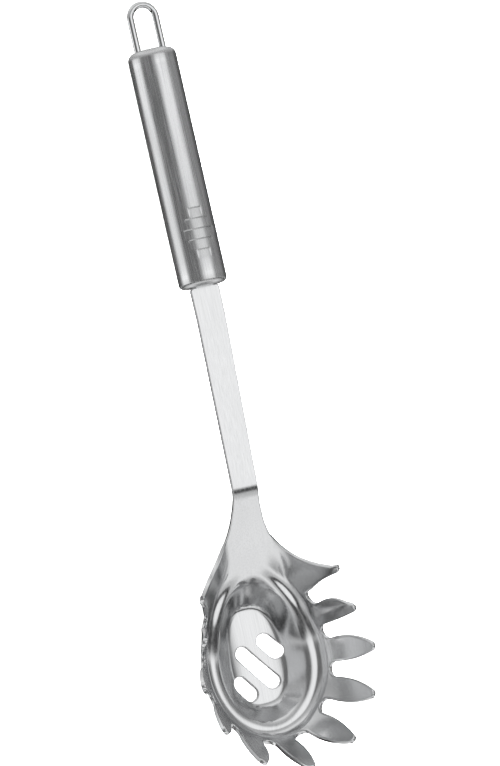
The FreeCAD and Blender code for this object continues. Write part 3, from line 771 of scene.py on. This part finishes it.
def neck_rows(bottom):
    """Patch from the bowl's near shoulder out to the wing's edge, the neck's side and across the neck."""
    left = wing_edge()
    top = neck_edge(left[-1])
    lengths = [0.0]
    for start, end in zip(left, left[1:]):
        lengths.append(lengths[-1] + (end - start).length)
    rows = [bottom]
    for outer, length in zip(left[1:], lengths[1:]):
        up = length / lengths[-1]
        middle = bottom[-1].lerp(top[-1], up)
        row = [outer]
        for column in range(1, NECK_COLUMNS + 1):
            along = column / NECK_COLUMNS
            point = bottom[column].lerp(top[column], up) + outer.lerp(middle, along)
            point -= bottom[0].lerp(bottom[-1], along).lerp(top[0].lerp(top[-1], along), up)
            row.append(Vector((point.x, point.y, surface_height(point.x, point.y))))
        rows.append(row)
    return rows


def strap_half_width(reach):
    """Half the width of strap and tang at a distance from the handle."""
    if reach < EDGE:
        return TANG_HALF
    if reach < STRAP_CORNER:
        return STRAP_HALF - STRAP_CORNER + math.sqrt(STRAP_CORNER ** 2 - (STRAP_CORNER - reach) ** 2)
    return blend(STRAP_HALF, FOLD_HALF, (reach - STRAP_CORNER) / (FOLD_REACH - STRAP_CORNER))


def strap_rows():
    """Rows from the fold up the strap, round its corners at the handle and along the tang."""
    near_fold = [FOLD_REACH - FOLD_ROUND * step for step in FOLD_STEPS]
    bend = [STRAP_STRAIGHT + step for step in STRAP_BEND_STEPS]
    middle = [blend(near_fold[-1], bend[0], step / STRAP_ROWS) for step in range(1, STRAP_ROWS)]
    upper = [blend(bend[-1], STRAP_CORNER, (step + 1) / STRAP_UPPER_ROWS) for step in range(STRAP_UPPER_ROWS)]
    corner = []
    for step in range(1, STRAP_CORNER_ROWS):
        reach = STRAP_CORNER * (1 - math.sin(math.pi / 2 * step / STRAP_CORNER_ROWS))
        if reach > EDGE:
            corner.append(reach)
    tang = [EDGE, EDGE - TANG_STEP, -TUBE_WALL, EDGE - TANG_LENGTH]
    rows = []
    for reach in near_fold + middle + bend + upper + corner + tang:
        half = strap_half_width(reach) - EDGE
        shares = [1 - column / CROSS_COLUMNS for column in range(2 * CROSS_COLUMNS + 1)]
        rows.append([Vector((half * share, -reach, middle_height(reach))) for share in shares])
    return rows


# Floor of the bowl with its drain slots

SLOTS = ((-1, SLOT_SHORT), (0, SLOT_LONG), (1, SLOT_SHORT))
SLOT_END_STEPS = 16
SLOT_SIDE_STEPS = 12
FLOOR_SHARES = [0.1, 0.2, 0.3, 0.4, 0.5, 0.58, 0.65, 0.71, 0.77, 0.82, 0.87, 0.92, 0.96]
FLOOR_STRIDE = 3
FLOOR_FINE_SHARE = 0.75
FLOOR_MARGIN = 0.4
FILL_INSIDE = 1
FILL_MERGE = 1e-5


def slot_outline(step, length, margin=0.0):
    """Points round one drain slot in the plane of the floor: each end's arc and the side that follows it."""
    radius = SLOT_RADIUS + EDGE + margin
    half = length / 2 - SLOT_RADIUS
    straight = []
    for end, start_angle in ((1, 0), (-1, 180)):
        for index in range(SLOT_END_STEPS + 1):
            angle = math.radians(start_angle + 180 * index / SLOT_END_STEPS)
            straight.append((radius * math.cos(angle), end * half + radius * math.sin(angle)))
        for index in range(1, SLOT_SIDE_STEPS):
            straight.append((-end * radius, end * half * (1 - 2 * index / SLOT_SIDE_STEPS)))
    turn = math.radians(SLOT_ANGLE)
    points = []
    for across, along in straight:
        x = step * SLOT_PITCH + across
        y = step * SLOT_STAGGER + along
        points.append((x * math.cos(turn) - y * math.sin(turn),
                       x * math.sin(turn) + y * math.cos(turn) - BOWL_REACH - SLOT_OFFSET))
    return points


def in_slot(x, y, margin=0.0):
    """Whether a point of the floor lies inside a slot, or within a margin of it."""
    turn = math.radians(SLOT_ANGLE)
    y += BOWL_REACH + SLOT_OFFSET
    along = -x * math.sin(turn) + y * math.cos(turn)
    across = x * math.cos(turn) + y * math.sin(turn)
    for step, length in SLOTS:
        past_end = max(abs(along - step * SLOT_STAGGER) - (length / 2 - SLOT_RADIUS), 0)
        if math.hypot(across - step * SLOT_PITCH, past_end) < SLOT_RADIUS + EDGE + margin:
            return True
    return False


def in_floor(x, y, margin):
    """Whether a point lies inside the ring where the floor's patch ends, and a margin away from it."""
    reach = -y - BOWL_REACH
    ring_radius = on_profile(head_profile(math.atan2(x, reach)), FLOOR_TOP_PLACE)[0]
    return math.hypot(x, reach) < ring_radius - margin


class Sheet:
    """Front face of the head, gathered as points and faces in the handle's frame."""

    def __init__(self):
        self.points = []
        self.faces = []

    def add_grid(self, rows, mirrored=True):
        """Patch of four-sided faces between rows of points, and its mirror image on the other side."""
        for side in (1, -1) if mirrored else (1,):
            start = len(self.points)
            width = len(rows[0])
            for row in rows:
                self.points += [Vector((side * point.x, point.y, point.z)) for point in row]
            for index in range(len(rows) - 1):
                for column in range(width - 1):
                    corner = start + index * width + column
                    face = (corner, corner + 1, corner + width + 1, corner + width)
                    self.faces.append(face if side > 0 else face[::-1])

    def add_floor(self, angles):
        """Hollow floor with the foot of the wall, the slots left open."""
        ring = [at_place(angle, FLOOR_TOP_PLACE) for angle in angles]
        flat = [(point.x, point.y) for point in ring]
        edges = [(index, (index + 1) % len(flat)) for index in range(len(flat))]
        for share in FLOOR_SHARES:
            stride = 1 if share > FLOOR_FINE_SHARE else FLOOR_STRIDE
            scaled = [(x * share, (y + BOWL_REACH) * share - BOWL_REACH) for x, y in flat[:len(ring):stride]]
            flat += [point for point in scaled if not in_slot(*point, 2 * FLOOR_MARGIN)]
        for step, length in SLOTS:
            beside = slot_outline(step, length, FLOOR_MARGIN)
            flat += [point for point in beside if in_floor(*point, FLOOR_MARGIN)]
            start = len(flat)
            outline = slot_outline(step, length)
            flat += outline
            edges += [(start + index, start + (index + 1) % len(outline)) for index in range(len(outline))]
        filled = delaunay_2d_cdt([Vector(point) for point in flat], edges, [], FILL_INSIDE, FILL_MERGE)
        vertices, triangles = filled[0], filled[2]
        start = len(self.points)
        self.points += [Vector((point.x, point.y, surface_height(point.x, point.y))) for point in vertices]
        for triangle in triangles:
            middle = sum((vertices[index] for index in triangle), Vector((0, 0))) / 3
            if not in_slot(middle.x, middle.y):
                self.faces.append(tuple(start + index for index in triangle))


def thicken(bm):
    """Gives the front face its thickness: a back face and a rounded edge all round."""
    bm.normal_update()
    vertices = list(bm.verts)
    faces = list(bm.faces)
    normals = {vertex: vertex.normal.copy() for vertex in vertices}
    outward = {}
    rim = []
    for edge in bm.edges:
        if edge.is_boundary:
            loop = edge.link_loops[0]
            start, end = loop.vert, loop.link_loop_next.vert
            rim.append((start, end))
            side = (end.co - start.co).cross(loop.face.normal).normalized()
            for vertex in (start, end):
                outward[vertex] = outward.get(vertex, Vector()) + side

    backs = {vertex: bm.verts.new(vertex.co - normals[vertex] * SHEET) for vertex in vertices}
    for face in faces:
        bm.faces.new([backs[vertex] for vertex in reversed(face.verts)])
    turns = [math.radians(turn) for turn in EDGE_TURNS]
    steps = [(EDGE * (1 - math.cos(turn)), EDGE * math.sin(turn)) for turn in turns]
    steps += [(SHEET - depth, out) for depth, out in reversed(steps)]
    strips = {}
    for vertex, direction in outward.items():
        direction = direction.normalized()
        strip = [vertex]
        for depth, out in steps:
            strip.append(bm.verts.new(vertex.co - normals[vertex] * depth + direction * out))
        strips[vertex] = strip + [backs[vertex]]
    for start, end in rim:
        left, right = strips[end], strips[start]
        for index in range(len(steps) + 1):
            bm.faces.new((left[index], right[index], right[index + 1], left[index + 1]))


def make_head():
    """The whole head as one sheet: bowl, tines, wings, neck, strap and tang."""
    sheet = Sheet()
    ring = []
    for index, tine in enumerate(TINES[:-1]):
        first = GAPS[index - 1] if index else -GAPS[0]
        last = GAPS[index]
        angles = sector_angles(first, last, TINE_COLUMNS)
        sheet.add_grid(inner_rows(angles, first, last), mirrored=index > 0)
        sheet.add_grid(tine_rows(tine, first, last), mirrored=index > 0)
        ring += angles[:-1]
    angles = sector_angles(WING_GAP, 180.0, NECK_COLUMNS)
    rows = inner_rows(angles, WING_GAP, None)
    sheet.add_grid(rows)
    sheet.add_grid(neck_rows(rows[-1]))
    sheet.add_grid(neck_strip_rows())
    sheet.add_grid(strap_rows(), mirrored=False)
    right_side = ring[TINE_COLUMNS + 1:] + angles[:-1]
    sheet.add_floor(ring + angles + [-angle for angle in reversed(right_side)])

    bm = bmesh.new()
    vertices = [bm.verts.new(point) for point in sheet.points]
    for face in sheet.faces:
        bm.faces.new([vertices[index] for index in face])
    bmesh.ops.remove_doubles(bm, verts=bm.verts, dist=MERGE_DISTANCE)
    bmesh.ops.recalc_face_normals(bm, faces=bm.faces)
    strap_face = max(bm.faces, key=lambda face: face.calc_center_median().y)
    if strap_face.normal.z < 0:
        bmesh.ops.reverse_faces(bm, faces=bm.faces)
    thicken(bm)
    mark_sharp(add_piece(bm, "head", "server_head", "polished_steel"), HEAD_SHARP_ANGLE)


# All pieces; the four hidden welds keep the solids' own meshes

make_tube()
make_strap_cap()
make_loop_cap()
make_seam("strap_seam", "strap_cap_seam_weld", STRAP_CAP_END)
make_seam("loop_seam", "loop_cap_seam_weld", LOOP_CAP_END - SEAM_ROOT)
make_loop()
make_head()
for node in ("tang_weld_front", "tang_weld_back", "loop_leg_weld_left", "loop_leg_weld_right"):
    mesh = frame["nodes"][node].data
    mesh.materials.clear()
    mesh.materials.append(MATERIALS["weld_bead"])


# Floor and light, in metres and watts

STAGE_SIZE = 4.0
STAGE_TONE = 0.92
STAGE_ROUGHNESS = 0.9
SKY_SEEN = 0.95


def grey(value):
    """Colour of a grey tone."""
    return (value, value, value, 1)


def make_floor():
    """Plain pale floor, which doesn't show in the steel."""
    bm = bmesh.new()
    bmesh.ops.create_grid(bm, x_segments=1, y_segments=1, size=STAGE_SIZE)
    mesh = bpy.data.meshes.new("floor")
    bm.to_mesh(mesh)
    bm.free()
    floor = bpy.data.objects.new("floor", mesh)
    scene.collection.objects.link(floor)
    material = bpy.data.materials.new("pale_floor")
    material.use_nodes = True
    shader = material.node_tree.nodes["Principled BSDF"]
    shader.inputs["Base Color"].default_value = grey(STAGE_TONE)
    shader.inputs["Roughness"].default_value = STAGE_ROUGHNESS
    mesh.materials.append(material)
    floor.visible_glossy = False


def add_ramp(nodes, stops):
    """Ramp of grey tones; the first and last stops are the ramp's own."""
    node = nodes.new("ShaderNodeValToRGB")
    elements = node.color_ramp.elements
    for position, value in stops[1:-1]:
        elements.new(position).color = grey(value)
    for element, (position, value) in ((elements[0], stops[0]), (elements[-1], stops[-1])):
        element.position = position
        element.color = grey(value)
    return node


# Brightness of the studio round the handle's axis, by the angle from the front towards the right
STUDIO_BANDS = [
    (-180, 0.13), (-134, 0.13), (-122, 1.45), (-88, 1.45), (-76, 0.22), (-18, 0.22),
    (-4, 1.42), (38, 1.42), (50, 0.37), (96, 0.37), (106, 0.12), (180, 0.12),
]
# Brightness by the share of the direction that points along the handle towards the head, and how far
# it takes the place of the bands there
HEAD_TONES = [
    (0.0, 1.42), (0.18, 1.50), (0.28, 1.50), (0.34, 0.06), (0.50, 0.06), (0.58, 0.80), (0.70, 0.80),
    (0.78, 1.26), (0.84, 1.26), (0.92, 0.74), (0.97, 0.50),
]
HEAD_SHARES = [(0.0, 0.0), (0.20, 0.0), (0.34, 1.0), (1.0, 1.0)]
# The same towards the loop
LOOP_TONES = [(0.0, 0.58), (0.45, 0.60), (0.70, 0.80), (0.86, 1.20), (1.0, 0.90)]
LOOP_SHARES = [(0.0, 0.0), (0.22, 0.0), (0.36, 1.0), (1.0, 1.0)]


def make_studio():
    """Soft boxes round the handle, drawn on the sky; the camera sees plain white there."""
    world = bpy.data.worlds.new("studio")
    scene.world = world
    world.use_nodes = True
    nodes, links = world.node_tree.nodes, world.node_tree.links
    place = nodes.new("ShaderNodeTexCoord")
    turn = nodes.new("ShaderNodeVectorRotate")
    turn.rotation_type = "X_AXIS"
    turn.inputs["Angle"].default_value = -TILT
    links.new(place.outputs["Generated"], turn.inputs["Vector"])
    split = nodes.new("ShaderNodeSeparateXYZ")
    links.new(turn.outputs["Vector"], split.inputs["Vector"])

    around = nodes.new("ShaderNodeMath")
    around.operation = "ARCTAN2"
    links.new(split.outputs["X"], around.inputs[0])
    links.new(split.outputs["Z"], around.inputs[1])
    share = nodes.new("ShaderNodeMapRange")
    share.inputs["From Min"].default_value = -math.pi
    share.inputs["From Max"].default_value = math.pi
    links.new(around.outputs["Value"], share.inputs["Value"])
    bands = add_ramp(nodes, [((angle + 180) / 360, value) for angle, value in STUDIO_BANDS])
    links.new(share.outputs["Result"], bands.inputs["Fac"])

    tone = bands.outputs["Color"]
    for direction, tones, shares in ((-1.0, HEAD_TONES, HEAD_SHARES), (1.0, LOOP_TONES, LOOP_SHARES)):
        toward = nodes.new("ShaderNodeMath")
        toward.operation = "MULTIPLY"
        toward.inputs[1].default_value = direction
        links.new(split.outputs["Y"], toward.inputs[0])
        end_tone = add_ramp(nodes, tones)
        end_share = add_ramp(nodes, shares)
        mixed = nodes.new("ShaderNodeMix")
        mixed.data_type = "RGBA"
        for ramp in (end_tone, end_share):
            links.new(toward.outputs["Value"], ramp.inputs["Fac"])
        links.new(end_share.outputs["Color"], mixed.inputs["Factor"])
        links.new(tone, mixed.inputs["A"])
        links.new(end_tone.outputs["Color"], mixed.inputs["B"])
        tone = mixed.outputs["Result"]

    path = nodes.new("ShaderNodeLightPath")
    seen = nodes.new("ShaderNodeMix")
    seen.data_type = "RGBA"
    seen.inputs["B"].default_value = grey(SKY_SEEN)
    links.new(path.outputs["Is Camera Ray"], seen.inputs["Factor"])
    links.new(tone, seen.inputs["A"])
    links.new(seen.outputs["Result"], nodes["Background"].inputs["Color"])


FLOOR_LIGHT_HEIGHT = 2.0
FLOOR_LIGHT_SIZE = 5.0
FLOOR_LIGHT_POWER = 600.0


def make_floor_light():
    """Large soft light from above that whitens the floor without showing in the steel."""
    data = bpy.data.lights.new("overhead", "AREA")
    data.shape = "DISK"
    data.size = FLOOR_LIGHT_SIZE
    data.energy = FLOOR_LIGHT_POWER
    light = bpy.data.objects.new("overhead", data)
    light.location = (0, 0, FLOOR_LIGHT_HEIGHT)
    light.visible_glossy = False
    scene.collection.objects.link(light)


# Camera: almost square on to the handle, from its left, with the handle leaning to the left in the picture.
# The direction and the point looked at are in the handle's frame; the point is in millimetres and the
# distance in metres.

VIEW_FROM = Vector((-0.342, -0.035, 0.94))
VIEW_CENTRE = Vector((9.2, -43.9, 3.5))
VIEW_DISTANCE = 1.6
VIEW_ROLL = 12.8
VIEW_LENS = 179.7


def make_camera():
    """Camera that looks along the view's direction, rolled about it."""
    back = VIEW_FROM.normalized()
    handle_up = (Vector((0, 1, 0)) - back * back.y).normalized()
    handle_right = handle_up.cross(back)
    roll = math.radians(VIEW_ROLL)
    right = handle_right * math.cos(roll) - handle_up * math.sin(roll)
    up = handle_right * math.sin(roll) + handle_up * math.cos(roll)
    matrix = Matrix((right, up, back)).transposed().to_4x4()
    matrix.translation = VIEW_CENTRE * MM + back * VIEW_DISTANCE
    data = bpy.data.cameras.new("camera")
    data.lens = VIEW_LENS
    camera = bpy.data.objects.new("camera", data)
    scene.collection.objects.link(camera)
    camera.matrix_world = HANDLE @ matrix
    scene.camera = camera


make_floor()
make_studio()
make_floor_light()
make_camera()
scene.view_settings.view_transform = "Standard"
